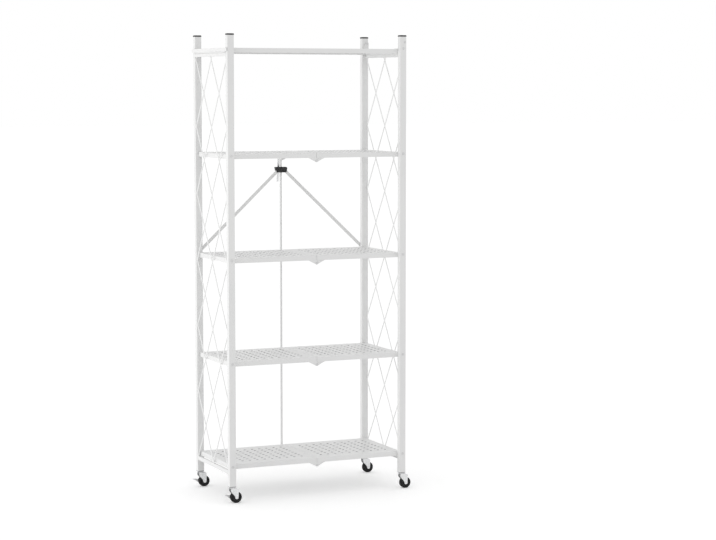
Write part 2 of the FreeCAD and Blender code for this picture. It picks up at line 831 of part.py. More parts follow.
def all_nodes():
    """Every piece of the unit by name."""
    nodes = {}
    for side in ("left", "right"):
        nodes.update(frame_nodes(side))
        for end in ("front", "rear"):
            nodes.update(caster_nodes(side, end))
    for shelf in sorted(shelf_tops):
        for side in ("left", "right"):
            nodes[f"shelf_{shelf}_{side}_half"] = shelf_half(shelf, side)
        nodes[f"shelf_{shelf}_centre_pins"] = centre_pins(shelf)
        nodes[f"shelf_{shelf}_rod_bush"] = rod_bush(shelf)
    nodes["top_shelf_panel"] = top_shelf_panel()
    nodes["top_shelf_end_lip"] = top_shelf_end_lip()
    nodes["top_shelf_hinge_ears"] = top_shelf_hinge_ears()
    nodes["top_shelf_pivots"] = top_shelf_pivots()
    nodes["linkage_rod"] = linkage_rod()
    nodes["slider_hub"] = hub()
    nodes["release_lever"] = release_lever()
    nodes["lever_pin"] = lever_pin()
    nodes["left_brace"] = brace()
    nodes["right_brace"] = mirror_x(brace())
    return nodes


os.makedirs("parts", exist_ok=True)
for node, shape in all_nodes().items():
    shape.exportStep(f"parts/{node}.step")
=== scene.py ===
# %% [markdown]
# # Folding shelving unit on casters
# The unit is painted steel: two side frames, five perforated shelves, a rear linkage with a
# black slider, and four small casters. The CAD model already holds every steel piece at its
# real size. This lesson keeps those pieces, gives each one a finish, and adds what a maker
# would see close up: weld beads, turned wheels, bent caster forks, domed caps and rivets.

import json
import math

import bmesh
import bpy
import numpy as np
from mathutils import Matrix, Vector


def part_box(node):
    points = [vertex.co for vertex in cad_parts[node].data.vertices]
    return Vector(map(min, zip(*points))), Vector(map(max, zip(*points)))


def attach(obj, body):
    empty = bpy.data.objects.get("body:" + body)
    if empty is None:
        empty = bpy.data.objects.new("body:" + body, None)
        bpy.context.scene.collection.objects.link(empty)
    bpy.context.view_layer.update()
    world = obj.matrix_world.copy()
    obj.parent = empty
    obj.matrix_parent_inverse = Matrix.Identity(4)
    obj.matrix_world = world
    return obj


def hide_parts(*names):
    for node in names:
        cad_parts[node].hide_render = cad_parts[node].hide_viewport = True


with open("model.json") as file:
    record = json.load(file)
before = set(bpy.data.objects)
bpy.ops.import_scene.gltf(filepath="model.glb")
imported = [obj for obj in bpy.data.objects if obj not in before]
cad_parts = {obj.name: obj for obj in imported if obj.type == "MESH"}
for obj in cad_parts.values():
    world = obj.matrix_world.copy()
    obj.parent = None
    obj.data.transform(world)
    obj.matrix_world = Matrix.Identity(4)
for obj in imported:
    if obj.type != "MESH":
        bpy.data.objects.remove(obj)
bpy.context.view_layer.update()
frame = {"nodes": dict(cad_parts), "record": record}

# %% [markdown]
# ## How a surface becomes a mesh
# Every new piece here is a surface worked out with numpy: a grid of points that depends on
# two parameters. The first runs along the piece and the second runs around it. The grid is
# closed around, and along as well where the piece is a ring. Where a row shrinks to one
# point, its corners are merged, so poles are closed. One call can hold many equal grids,
# which is how dozens of weld beads become one mesh.

# %% Grid helper
mm = 0.001
merge_distance = 0.000002
crease_angle = math.radians(38)


def add_object(name, data):
    """Object in the scene for a mesh, a lamp or a camera."""
    item = bpy.data.objects.new(name, data)
    bpy.context.scene.collection.objects.link(item)
    return item


def grid_faces(copies, rows, columns, ring):
    """Quads between neighbouring grid points. A ring also joins its last row to its first."""
    row_count = rows if ring else rows - 1
    row, column = np.meshgrid(np.arange(row_count), np.arange(columns), indexing="ij")
    next_row = (row + 1) % rows
    next_column = (column + 1) % columns
    quads = np.stack([
        row * columns + column, row * columns + next_column,
        next_row * columns + next_column, next_row * columns + column,
    ], axis=-1).reshape(-1, 4)
    first_point = np.arange(copies)[:, None, None] * rows * columns
    return (quads[None] + first_point).reshape(-1, 4)


def surface(name, points, material, body, ring=False, replaced=()):
    """Mesh piece from points in millimetres, shaped (rows, columns, 3) or with copies first."""
    points = np.asarray(points, float)
    if points.ndim == 3:
        points = points[None]
    copies, rows, columns = points.shape[:3]
    mesh = bpy.data.meshes.new(name)
    mesh.from_pydata((points.reshape(-1, 3) * mm).tolist(), [],
                     grid_faces(copies, rows, columns, ring).tolist())
    build = bmesh.new()
    build.from_mesh(mesh)
    bmesh.ops.remove_doubles(build, verts=build.verts, dist=merge_distance)
    bmesh.ops.dissolve_degenerate(build, edges=build.edges, dist=merge_distance)
    bmesh.ops.recalc_face_normals(build, faces=build.faces)
    build.to_mesh(mesh)
    build.free()
    mesh.polygons.foreach_set("use_smooth", np.ones(len(mesh.polygons), bool))
    mesh.set_sharp_from_angle(angle=crease_angle)
    mesh.materials.append(material)
    piece = add_object(name, mesh)
    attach(piece, body)
    if replaced:
        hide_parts(*replaced)
    return piece


def around(steps):
    """Angles of one full turn, without repeating the first."""
    return np.arange(steps) * 2 * math.pi / steps


def turned(profile, steps, centre, axis):
    """Surface of revolution: each profile point (radius, height) goes round the axis at its
    own radius, so a point is centre + radius * (cos, sin) across + height along the axis."""
    profile = np.asarray(profile, float)
    angle = around(steps)[None, :]
    radius = profile[:, 0][:, None]
    height = np.repeat(profile[:, 1][:, None], steps, axis=1)
    across = np.stack([radius * np.cos(angle), radius * np.sin(angle)], axis=-1)
    order = {"z": (0, 1, 2), "y": (0, 2, 1)}[axis]
    points = np.concatenate([across, height[..., None]], axis=-1)[..., order]
    return points + np.asarray(centre, float)


def arc(centre, radius, start, end, steps):
    """Points (u, v) on an arc from one angle to another, in degrees."""
    angle = np.radians(np.linspace(start, end, steps))
    return np.stack([centre[0] + radius * np.cos(angle),
                     centre[1] + radius * np.sin(angle)], axis=-1)


print("grid helpers ready")

# %% [markdown]
# ## How a finish is built
# A finish is a small network of nodes that feeds one shader, and most of it starts as noise.
# Every pattern reads Object coordinates, which are metres on the piece itself. So it stays
# where it is when the piece moves, and its scale can be given in cycles per metre. A change of
# range then picks the part of the pattern that counts. One helper makes every node: it fills
# each input with a value, or joins it to another node's result.

# %% Node and pattern helpers
def new_material(name):
    """Material with an empty Principled shader; returns it, its node tree and the shader."""
    material = bpy.data.materials.new(name)
    material.use_nodes = True
    return material, material.node_tree, material.node_tree.nodes["Principled BSDF"]


def fill_inputs(tree, node, inputs):
    """Put a number, a colour or a vector on each input, or join another node's result to it."""
    for name, value in inputs.items():
        socket = node.inputs[name]
        if isinstance(value, bpy.types.NodeSocket):
            tree.links.new(value, socket)
        elif isinstance(value, tuple):
            socket.default_value = (*value, 1.0)[:len(socket.default_value)]
        else:
            socket.default_value = value


def new_node(tree, kind, inputs):
    """Node of one kind, with its inputs filled."""
    node = tree.nodes.new(kind)
    fill_inputs(tree, node, inputs)
    return node


def on_piece(tree):
    """Object coordinates, in metres."""
    return tree.nodes.new("ShaderNodeTexCoord").outputs["Object"]


def noise(tree, scale, detail, stretch=(1.0, 1.0, 1.0)):
    """Noise pattern on Object coordinates, with the scale in cycles per metre."""
    mapping = new_node(tree, "ShaderNodeMapping", {"Vector": on_piece(tree), "Scale": stretch})
    pattern = new_node(tree, "ShaderNodeTexNoise", {
        "Vector": mapping.outputs["Vector"], "Scale": scale, "Detail": detail})
    return pattern.outputs["Fac"]


def spread(tree, source, low, high, start=0.3, end=0.7):
    """Number that goes from low to high as the pattern goes from start to end."""
    change = new_node(tree, "ShaderNodeMapRange", {
        "Value": source, "From Min": start, "From Max": end, "To Min": low, "To Max": high})
    return change.outputs["Result"]


print("pattern helpers ready")

# %% [markdown]
# ## Colours, bumps and sums
# A pattern is only a number at each place. A mix makes it a colour between two, a bump makes
# it a slope that catches the light without any new faces, and sums join several patterns. A
# Mix node has sockets for every kind of value, so those for colours go by their place.

# %% Mixing helpers
mix_share, mix_first, mix_second, mix_colour = 0, 6, 7, 2


def blend_colours(tree, share, first, second):
    """Colour between two, mixed by a pattern: first where it is 0 and second where it is 1."""
    mix = tree.nodes.new("ShaderNodeMix")
    mix.data_type = "RGBA"
    fill_inputs(tree, mix, {mix_share: share, mix_first: first, mix_second: second})
    return mix.outputs[mix_colour]


def ripple(tree, height, strength, distance, before=None):
    """Bump from a height pattern, in metres, on top of an earlier bump if there is one."""
    inputs = {"Height": height, "Strength": strength, "Distance": distance}
    if before is not None:
        inputs["Normal"] = before
    return new_node(tree, "ShaderNodeBump", inputs).outputs["Normal"]


def calculate(tree, operation, *values):
    """Result of one sum on numbers or on other nodes' results, which fill its inputs in turn."""
    step = new_node(tree, "ShaderNodeMath", dict(enumerate(values)))
    step.operation = operation
    return step.outputs[0]


print("mixing helpers ready")

# %% [markdown]
# ## Painted shade in the punched holes
# The shelves' holes are punched through the sheet. Each hole's wall and a thin ring around it
# are painted dark grey: painted shade, which makes the holes read as deep and dark. Rings of
# their own would cost many faces. A pattern that follows the CAD's grid paints them: rounding
# finds the nearest hole, and what is left over is the way to its middle.

# %% Painted shade in the holes
hole_radius = 3.5 * mm
hole_pitch = 27.7 * mm
first_hole = 36.5 * mm
hole_rows = 8
hole_columns = 10
half_step = 0.5
shade_ring_width = 1.3 * mm
shade_core_share = 0.35
# Dark grey of the painted shade on the holes' walls and rings.
hole_shade_colour = (0.10, 0.10, 0.105)


def painted_hole_shade(tree):
    """Share of painted shade: 1 on the wall and the thin ring of every punched hole, and 0
    elsewhere. Places are counted in steps of the grid, and the distance is the root of the
    squares of what rounding leaves over. Tests on the nearest row and column keep the pattern
    inside the grid."""
    def step(operation, *values):
        """One sum of this network."""
        return calculate(tree, operation, *values)

    split = new_node(tree, "ShaderNodeSeparateXYZ", {"Vector": on_piece(tree)})
    from_first = step("SUBTRACT", step("ABSOLUTE", split.outputs["X"]), first_hole)
    column = step("DIVIDE", from_first, hole_pitch)
    row = step("ADD", step("DIVIDE", split.outputs["Y"], hole_pitch), (hole_rows - 1) / 2)
    squares = []
    inside = []
    for along, count in ((column, hole_columns), (row, hole_rows)):
        nearest = step("ROUND", along)
        offset = step("SUBTRACT", along, nearest)
        squares.append(step("MULTIPLY", offset, offset))
        inside.append(step("GREATER_THAN", nearest, -half_step))
        inside.append(step("LESS_THAN", nearest, count - half_step))
    distance = step("SQRT", step("ADD", *squares))
    start = (hole_radius + shade_ring_width * shade_core_share) / hole_pitch
    end = (hole_radius + shade_ring_width) / hole_pitch
    share = spread(tree, distance, 1, 0, start, end)
    for test in inside:
        share = step("MULTIPLY", share, test)
    return share


print("holes per shelf half:", hole_rows, "rows of", hole_columns)

# %% [markdown]
# ## White powder coat
# Powder is sprayed on dry and melted in an oven. It flows out almost level, and what is left
# is a fine ripple, called orange peel, about a millimetre across, with a satin gloss that
# varies a little from place to place. Three noise patterns do this: one for the ripple in the
# bump, one for the gloss, and a wide, weak one for the shade. The colour is an off-white
# that a lamp at a plain level shows about as it is written.

# %% Powder coat
shade_scale = 3.2
gloss_scale = 41.0
peel_depth = 0.12 * mm
fine_peel_depth = 0.04 * mm
fine_peel_times = 3.7
fine_peel_share = 0.6
coat_specular = 0.45


def powder_coat(name, bright, dull, gloss, peel_scale, peel_strength, punched=False):
    """Satin powder coat on steel, with painted shade in the holes where the sheet is punched.
    The gloss is a pair: the roughness at its lowest and at its highest."""
    material, tree, shader = new_material(name)
    shade = spread(tree, noise(tree, shade_scale, detail=3.0), 0, 1)
    colour = blend_colours(tree, shade, dull, bright)
    if punched:
        # Painted shade: the walls and thin rings of the punched holes are darkened to a dark
        # grey.
        colour = blend_colours(tree, painted_hole_shade(tree), colour, hole_shade_colour)
    cloud = noise(tree, gloss_scale, detail=4.0)
    peel = noise(tree, peel_scale, detail=1.5)
    fine = noise(tree, peel_scale * fine_peel_times, detail=2.0)
    slope = ripple(tree, peel, peel_strength, peel_depth)
    slope = ripple(tree, fine, peel_strength * fine_peel_share, fine_peel_depth, before=slope)
    fill_inputs(tree, shader, {
        "Base Color": colour, "Roughness": spread(tree, cloud, *gloss), "Normal": slope,
        "Specular IOR Level": coat_specular})
    return material


coat_bright = (0.825, 0.825, 0.82)
coat_dull = (0.79, 0.791, 0.79)
frame_coat = powder_coat("frame_powder_coat", coat_bright, coat_dull, gloss=(0.30, 0.42),
                         peel_scale=820.0, peel_strength=0.35)
shelf_coat = powder_coat("shelf_powder_coat", coat_bright, coat_dull, gloss=(0.34, 0.46),
                         peel_scale=760.0, peel_strength=0.40, punched=True)
# Painted light: the wires carry the frame's white coat, and this lighter colour makes the thin
# wires look brighter, as more light on them would.
wire_coat = powder_coat("wire_powder_coat", (0.90, 0.90, 0.895), (0.86, 0.861, 0.86),
                        gloss=(0.32, 0.44), peel_scale=1100.0, peel_strength=0.30)
rivet_paint = powder_coat("rivet_paint", (0.72, 0.72, 0.72), (0.65, 0.65, 0.655),
                          gloss=(0.26, 0.38), peel_scale=1400.0, peel_strength=0.30)
print("powder coats made")

# %% [markdown]
# ## Black plastic, tyre and wheel centre
# The caps, the casters' plugs and the slider are moulded nylon. A mould is spark-eroded, which
# leaves an even, sand-like grain of about a third of a millimetre and a dull gloss. The tyre
# is a softer, duller black with dust in its pores, and the wheel's centre is smoother and a
# little greyer. All of them vary from place to place, and none is a plain black.

# %% Plastics
dust_scale = 55.0
grain_depth = 0.08 * mm


def moulded(name, dark, light, gloss, grain_scale, grain_strength, dust, shine=0.15):
    """Moulded plastic or rubber with an even grain and a faint bloom of dust."""
    material, tree, shader = new_material(name)
    cloud = noise(tree, dust_scale, detail=5.0)
    bloom = spread(tree, cloud, 0, dust, start=0.35, end=0.75)
    grain = noise(tree, grain_scale, detail=3.0)
    fill_inputs(tree, shader, {
        "Base Color": blend_colours(tree, bloom, dark, light),
        "Roughness": spread(tree, grain, *gloss),
        "Normal": ripple(tree, grain, grain_strength, grain_depth),
        "Specular IOR Level": shine})
    return material


cap_plastic = moulded("moulded_black_nylon", (0.008, 0.008, 0.0085), (0.026, 0.026, 0.027),
                      gloss=(0.44, 0.60), grain_scale=2900.0, grain_strength=0.55, dust=0.8)
slider_plastic = moulded("moulded_slider_nylon", (0.018, 0.018, 0.019), (0.070, 0.070, 0.072),
                         gloss=(0.38, 0.54), grain_scale=2500.0, grain_strength=0.60, dust=1.0,
                         shine=0.35)
plug_plastic = moulded("moulded_grey_nylon", (0.30, 0.30, 0.31), (0.42, 0.42, 0.43),
                       gloss=(0.40, 0.55), grain_scale=2900.0, grain_strength=0.50, dust=1.0,
                       shine=0.4)
tyre_rubber = moulded("tyre_rubber", (0.009, 0.009, 0.0095), (0.032, 0.0315, 0.031),
                      gloss=(0.54, 0.72), grain_scale=2100.0, grain_strength=0.60, dust=1.0)
wheel_nylon = moulded("wheel_nylon", (0.014, 0.014, 0.015), (0.036, 0.036, 0.037),
                      gloss=(0.34, 0.48), grain_scale=1700.0, grain_strength=0.30, dust=0.7,
                      shine=0.25)
print("plastics made")

# %% [markdown]
# ## Zinc plate
# The caster forks, the axles, the pedals and the lever are zinc plated. Bright zinc shows
# faint crystals, a few millimetres across, that catch the light differently, and fine lines
# left by rolling the sheet. Cells from a Voronoi pattern shift the shade, and a stretched
# noise adds the lines and varies the gloss. The pedals' side plates face the tyres, and a
# bright plate would only mirror their black, so those get a duller plating.

# %% Metals
rolling_scale = 240.0
rolling_stretch = (1.0, 1.0, 9.0)
rolling_depth = 0.03 * mm


def plated(name, light, shade, metallic, gloss, crystal_scale, line_strength):
    """Plated steel with crystals and rolling lines."""
    material, tree, shader = new_material(name)
    crystal = new_node(tree, "ShaderNodeTexVoronoi", {
        "Vector": on_piece(tree), "Scale": crystal_scale})
    grey = new_node(tree, "ShaderNodeRGBToBW", {"Color": crystal.outputs["Color"]})
    facet = spread(tree, grey.outputs["Val"], 0, 1, start=0.2, end=0.8)
    lines = noise(tree, rolling_scale, detail=4.0, stretch=rolling_stretch)
    fill_inputs(tree, shader, {
        "Base Color": blend_colours(tree, facet, shade, light),
        "Roughness": spread(tree, lines, *gloss),
        "Normal": ripple(tree, lines, line_strength, rolling_depth),
        "Metallic": metallic})
    return material


zinc_plate = plated("zinc_plate", (0.84, 0.845, 0.85), (0.70, 0.705, 0.71), metallic=0.75,
                    gloss=(0.26, 0.40), crystal_scale=310.0, line_strength=0.35)
dull_zinc = plated("dull_zinc_plate", (0.84, 0.84, 0.845), (0.76, 0.76, 0.765), metallic=0.12,
                   gloss=(0.45, 0.62), crystal_scale=260.0, line_strength=0.35)
print("metals made")

# %% [markdown]
# ## A finish for every CAD piece
# The CAD record names a material slot for each node. One table turns slots into finishes, so
# no node is left with a flat colour, and a piece that is added to the CAD later gets its
# finish from its slot too.

# %% Finish the CAD nodes
finish_of_slot = {
    "white_coat": frame_coat,
    "white_shelf": shelf_coat,
    "white_wire": wire_coat,
    "white_rivet": rivet_paint,
    "grey_plastic": plug_plastic,
    "black_plastic": cap_plastic,
    "wheel_black": tyre_rubber,
    "zinc": zinc_plate,
}
for row in frame["record"]["subparts"]:
    for place in frame["nodes"][row["node"]].material_slots:
        place.material = finish_of_slot[row["material_slot"]]

# %% [markdown]
# ## Sizes read from the CAD
# A detail piece must sit on what carries it, so its place comes from the CAD nodes' own
# boxes. Most details are used at each of the four posts, so those get one table: the name of
# a post gives its side and its middle.

# %% Places
sides = {"left": -1, "right": 1}
ends = {"front": -1, "rear": 1}


def node_box(name):
    """Lowest and highest corner of a CAD node, in millimetres."""
    low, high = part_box(name)
    return np.array(low) / mm, np.array(high) / mm


post_low, post_high = node_box("right_front_post")
half_x = (post_low[0] + post_high[0]) / 2
half_y = -(post_low[1] + post_high[1]) / 2
post_outer_y = -post_low[1]
post_inner_y = -post_high[1]
post_top = post_high[2]
posts = {f"{side}_{end}": (side, sign_x * half_x, sign_y * half_y)
         for side, sign_x in sides.items() for end, sign_y in ends.items()}
print("posts stand at", round(half_x, 1), round(half_y, 1), "and end at", round(post_top, 1))

# %% [markdown]
# ## Outlines with round corners
# Caps, rail ends and bracket feet have a rectangle with round corners for an outline, and the
# slider's cover is wider at its top. Only the quarter circles are worked out: each ends where
# the next side starts, so joining their points draws the straight sides as well.

# %% Rounded outlines
corner_steps = 7
outline_points = 4 * corner_steps


def tapered_outline(half_top, half_bottom, bottom, top, corner, steps):
    """Four quarter circles at the corners of a shape whose top and bottom differ in width."""
    corners = []
    for start, sign, half, height in (
            (0, 1, half_top, top - corner), (90, -1, half_top, top - corner),
            (180, -1, half_bottom, bottom + corner), (270, 1, half_bottom, bottom + corner)):
        middle = (sign * (half - corner), height)
        corners.append(arc(middle, corner, start, start + 90, steps))
    return np.concatenate(corners)


def rounded_rectangle(half_width, half_depth, corner):
    """The same with equal widths, around the origin."""
    return tapered_outline(half_width, half_width, -half_depth, half_depth, corner, corner_steps)


print("points around a rounded rectangle:", outline_points)

# %% [markdown]
# ## Post caps
# Each post is closed by a black moulded cap. The CAD cap is a block with rounded edges. A
# moulded one has a skirt that opens a hair wider at its lower edge, a soft shoulder and a top
# that bulges a little, because thick plastic sinks unless the mould is crowned. The surface
# carries one rounded rectangle up the cap and draws it in towards the middle at the top.

# %% Caps
cap_low, cap_high = node_box("right_front_cap")
cap_reach_x = (cap_high[0] - cap_low[0]) / 2
cap_reach_y = (cap_high[1] - cap_low[1]) / 2
cap_top = cap_high[2]
cap_corner = 3.0
smallest_corner = 0.05
smallest_reach = 0.06
skirt = np.array([
    [1.3, 0.0], [0.25, 0.0], [0.0, 0.25], [0.0, 0.9], [0.25, 1.25], [0.25, 2.6],
])
shoulder = arc((2.05, 2.7), 1.8, 180, 100, 7)
crown_inset = 3.2
crown_ridge = 0.02
crown_foot = 4.62
crown_swell = 0.38
crown_shares = np.linspace(0.35, 1.0, 6)
crown = np.stack([
    np.linspace(crown_inset, cap_reach_y - crown_ridge, len(crown_shares)),
    crown_foot + crown_swell * np.sin(crown_shares * math.pi / 2),
], axis=-1)
cap_profile = np.concatenate([skirt, shoulder, crown])


def cap_surface(x, y):
    """Rounded rectangles stacked along Z, each drawn in by the profile's inset, between a
    point at the foot and a point at the top."""
    rows = [np.full((outline_points, 3), (x, y, post_top))]
    for inset, rise in cap_profile:
        outline = rounded_rectangle(max(cap_reach_x - inset, smallest_reach),
                                    max(cap_reach_y - inset, smallest_reach),
                                    max(cap_corner - inset, smallest_corner))
        rows.append(np.column_stack([outline + (x, y), np.full(outline_points, post_top + rise)]))
    rows.append(np.full((outline_points, 3), (x, y, cap_top)))
    return np.stack(rows)


for post, (side, x, y) in posts.items():
    surface(f"{post}_cap_shell", cap_surface(x, y), cap_plastic,
            f"{side}_frame", replaced=[f"{post}_cap"])
print("caps end at", round(cap_top, 2))

# %% [markdown]
# ## Weld beads on the rails
# The frames are welded before they are painted. Each rail has a thin bead around its end
# where it meets the post. A curve with a round bevel could draw it, but its radius would be
# even. Here a small circle is carried along the rail's outline, and its radius swells and
# shrinks with the tiny waves that the torch leaves.

# %% Beads around the rail ends
bead_steps = 8
bead_radius = 0.85
bead_swell = 0.12
swell_step = 2.1
rail_corner = 1.4
inner_offset = 1.0


def rail_bead(rail, y, sign_y):
    """Circle carried around the rail's rounded outline: its cosine points out of the outline
    and its sine along the rail. The radius swells and shrinks with a sine wave on the way."""
    low, high = node_box(rail)
    middle = (low + high) / 2
    reach = (high - low) / 2
    path = rounded_rectangle(reach[0], reach[2], rail_corner)
    inner = rounded_rectangle(reach[0] - inner_offset, reach[2] - inner_offset, inner_offset)
    out = path - inner
    out = out / np.linalg.norm(out, axis=1, keepdims=True)
    radius = bead_radius + bead_swell * np.sin(np.arange(len(path)) * swell_step)[:, None]
    angle = around(bead_steps)[None, :]
    flat = path[:, None] + out[:, None] * (radius * np.cos(angle))[..., None]
    along = y - sign_y * radius * np.sin(angle)
    return np.stack([flat[..., 0] + middle[0], along, flat[..., 1] + middle[2]], axis=-1)


for side in sides:
    beads = [rail_bead(f"{side}_{level}_rail", sign_y * post_inner_y, sign_y)
             for level in ("top", "bottom") for sign_y in ends.values()]
    surface(f"{side}_rail_welds", np.stack(beads), frame_coat, f"{side}_frame",
            ring=True)
print("rail beads made")

# %% [markdown]
# ## Where the wires meet
# Each wire has a small puddle of weld where it touches a post, a rail or another wire. The
# places follow the lattice, so they are counted out instead of listed: rows and columns whose
# sum is even, and four ends at the top rail.

# %% Places of the wire welds
lattice_low, lattice_high = node_box("left_lattice")
wire_radius = (lattice_high[0] - lattice_low[0]) / 2
wire_x = abs(lattice_low[0] + wire_radius)
top_rail_bottom = lattice_high[2]
bottom_rail_top = lattice_low[2]
crossing_columns = 4
crossing_rows = 12
first_row_drop = 9.0
first_row = top_rail_bottom - first_row_drop
column_step = 2 * post_inner_y / crossing_columns
row_step = (first_row - bottom_rail_top - wire_radius) / crossing_rows
post_hold = 0.6
rail_hold = 0.4


def lattice_joints():
    """Places (y, z) where wires cross or meet a post: rows and columns whose sum is even. At
    the posts they are held back a little, so that a puddle stays outside the tube."""
    half = crossing_columns // 2
    column, row = np.meshgrid(np.arange(-half, half + 1), np.arange(crossing_rows + 1),
                              indexing="ij")
    chosen = (column + row) % 2 == 0
    reach = post_inner_y - post_hold
    return np.stack([np.clip(column[chosen] * column_step, -reach, reach),
                     first_row - row[chosen] * row_step], axis=-1)


def rail_joints():
    """Places (y, z) where wires end at the top rail: a wire moves one column in one row, so
    above the first row it moves by the drop's share of a row."""
    shift = first_row_drop / row_step * column_step
    return np.array([(column * column_step + way * shift, top_rail_bottom - rail_hold)
                     for column, way in ((0, 1), (0, -1), (2, -1), (-2, 1))])


puddle_places = np.concatenate([lattice_joints(), rail_joints()])
print("wire puddles per side:", len(puddle_places))

# %% [markdown]
# ## Puddles of weld
# A puddle is a low dome that has run around the wire. As there are dozens, each is a plain egg
# shape with few faces, sunk half into the wires, and one mesh per side holds them all.

# %% Puddles
puddle_reach = (2.15, 2.9, 3.3)
puddle_rows = 6
puddle_columns = 10


def domes(centres, reach):
    """Egg shapes: a sphere's points, stretched by three reaches, at every centre."""
    rise = np.linspace(-math.pi / 2, math.pi / 2, puddle_rows)[:, None]
    turn = around(puddle_columns)[None, :]
    ball = np.stack([np.cos(rise) * np.cos(turn), np.cos(rise) * np.sin(turn),
                     np.repeat(np.sin(rise), puddle_columns, axis=1)], axis=-1)
    return centres[:, None, None, :] + ball[None] * np.asarray(reach, float)


for side, sign_x in sides.items():
    centres = np.column_stack([np.full(len(puddle_places), sign_x * wire_x), puddle_places])
    surface(f"{side}_wire_welds", domes(centres, puddle_reach), wire_coat,
            f"{side}_frame")
print("wire puddles made")

# %% [markdown]
# ## Rivets of the top brackets
# On the right posts a painted rivet shows just under the caps, in line with the top shelf's
# edge, at the front and at the rear. A flattened sphere has no rim to catch the light, so the
# head is a low dome on a flat rim: a profile turned about its axis.

# %% Top rivets
rivet_height = 1554.0
rivet_steps = 28
head_profile = np.concatenate([
    [[0.0, -0.6], [4.4, -0.6], [4.4, 0.35]],
    arc((3.7, 0.35), 0.7, 0, 60, 4),
    [[3.1, 1.25], [2.0, 1.5], [0.9, 1.62], [0.0, 1.65]],
])
for end, sign_y in ends.items():
    head = turned(head_profile * (1, sign_y), rivet_steps,
                  (half_x, sign_y * post_outer_y, rivet_height), "y")
    surface(f"right_{end}_top_rivet", head, rivet_paint, "right_frame")
print("top rivets at", rivet_height)

# %% [markdown]
# ## Tyres
# A wheel of this size is a hard nylon centre with a softer tyre moulded on. The tyre has a
# slightly crowned tread, round shoulders and two fine grooves. A torus would give a bicycle's
# round tread, so the outline is worked out point by point, to be turned about the axle.

# %% Outline of a tyre
tyre_inner = 13.6
tyre_steps = 72
tyre_shoulder = 2.4
shoulder_steps = 6
tread_steps = 17
tread_drop = 0.35
groove_places = (-0.45, 0.45)
groove_depth = 0.45
groove_width = 0.07
inner_edge_inset = 0.9
lip_height = 0.8
lip_inset = 0.1


def tyre_profile(radius, half_width):
    """Closed outline (radius, across): shoulder, tread, shoulder, lips and inner face. The
    tread falls with the square of the way across and dips like a bell curve at each groove."""
    across = np.linspace(-1, 1, tread_steps)
    crown = radius - tread_drop * across ** 2
    for groove in groove_places:
        crown = crown - groove_depth * np.exp(-((across - groove) / groove_width) ** 2)
    flat = half_width - tyre_shoulder
    tread = np.stack([crown, across * flat], axis=-1)
    bend = radius - tread_drop - tyre_shoulder
    left = arc((bend, -flat), tyre_shoulder, 270, 360, shoulder_steps)
    right = arc((bend, flat), tyre_shoulder, 0, 90, shoulder_steps)
    inner = np.array([[tyre_inner, half_width - inner_edge_inset]])
    lip = np.array([[tyre_inner + lip_height, half_width - lip_inset]])
    return np.concatenate([left[:-1], tread, right[1:], lip, inner, inner * (1, -1),
                           lip * (1, -1)])


print("tyre's inner radius:", tyre_inner)

# %% [markdown]
# ## Wheel centres
# The centre is dished between its rim and its hub, with six ribs. Ribs could be boxes that
# stand in a turned dish, but each would meet it in a sharp seam. Here the dish's depth changes
# with the angle instead, so ribs and dish are one soft surface.

# %% Tyres and wheel centres
centre_bore = 3.05
centre_overlap = 0.05
hub_radii = (5.6, 6.2, 7.0)
rim_insets = (2.2, 1.4, 0.7, 0.0)
pressed_shares = (0.0, 0.0, 0.35, 1.0, 1.0, 0.35, 0.0, 0.0)
face_inset = 0.3
dish_depth = 2.4
rib_count = 6
rib_width = 0.11
rib_share = 0.75


def centre_surface(centre, radius, half_width):
    """Closed outline (radius, across) turned about the axle. Between hub and rim the face is
    pressed in. Each rib is a bell curve over the angle, which takes most of that away."""
    radii = np.array([centre_bore, *hub_radii, *(radius - inset for inset in rim_insets)])
    angle = around(tyre_steps)[None, :]
    from_rib = (angle * rib_count / (2 * math.pi) + 0.5) % 1 - 0.5
    rib = np.exp(-(from_rib / rib_width) ** 2)
    dish = np.array(pressed_shares)[:, None] * dish_depth * (1 - rib_share * rib)
    front = half_width - face_inset - dish
    across = np.concatenate([front, -front[::-1]])
    reach = np.concatenate([radii, radii[::-1]])[:, None]
    return np.stack([centre[0] + reach * np.cos(angle), centre[1] + across,
                     centre[2] + reach * np.sin(angle)], axis=-1)


for post in posts:
    node = f"{post}_wheel"
    low, high = node_box(node)
    centre = (low + high) / 2
    radius = (high[2] - low[2]) / 2
    half_width = (high[1] - low[1]) / 2
    tyre = turned(tyre_profile(radius, half_width), tyre_steps, centre, "y")
    surface(f"{post}_tyre", tyre, tyre_rubber, node, ring=True, replaced=[node])
    wheel_centre = centre_surface(centre, tyre_inner + centre_overlap, half_width)
    surface(f"{post}_wheel_centre", wheel_centre, wheel_nylon, node, ring=True)
print("wheels of radius", round(radius, 1), "made")

# %% [markdown]
# ## Path and edges of a fork
# A fork is stamped flat and bent over a former, so the corners between its top and its cheeks
# are round, and the sheet keeps one thickness. One path runs up a cheek, over the top and
# down the other cheek. At each height the sheet has a left and a right edge: a half circle
# around the axle, then straight edges that spread, then round shoulders under the post.

# %% Fork path and edges
sheet_thickness = 1.5
fork_bend = 3.2
fork_top = 53.0
foot_radius = 6.0
foot_steps = 8
cheek_steps = 14
bend_steps = 7
half_top_steps = 5
shoulder_height = 8.0
shoulder_left = 2.5
shoulder_right = 10.0


def fork_path(axle_height, cheek):
    """Half of the bent path (across, height): foot, cheek, bend and half of the top. The
    foot's heights follow a sine, so they are close together where its half circle turns."""
    foot = axle_height + foot_radius * np.sin(np.linspace(-math.pi / 2, 0, foot_steps))
    rise = np.linspace(axle_height, fork_top - fork_bend, cheek_steps)[1:]
    up = np.concatenate([foot, rise])
    corner = arc((fork_bend - cheek, fork_top - fork_bend), fork_bend, 180, 90, bend_steps)[1:]
    over = np.linspace(fork_bend - cheek, 0, half_top_steps)[1:]
    return np.concatenate([np.column_stack([np.full(len(up), -cheek), up]), corner,
                           np.column_stack([over, np.full(len(over), fork_top)])])


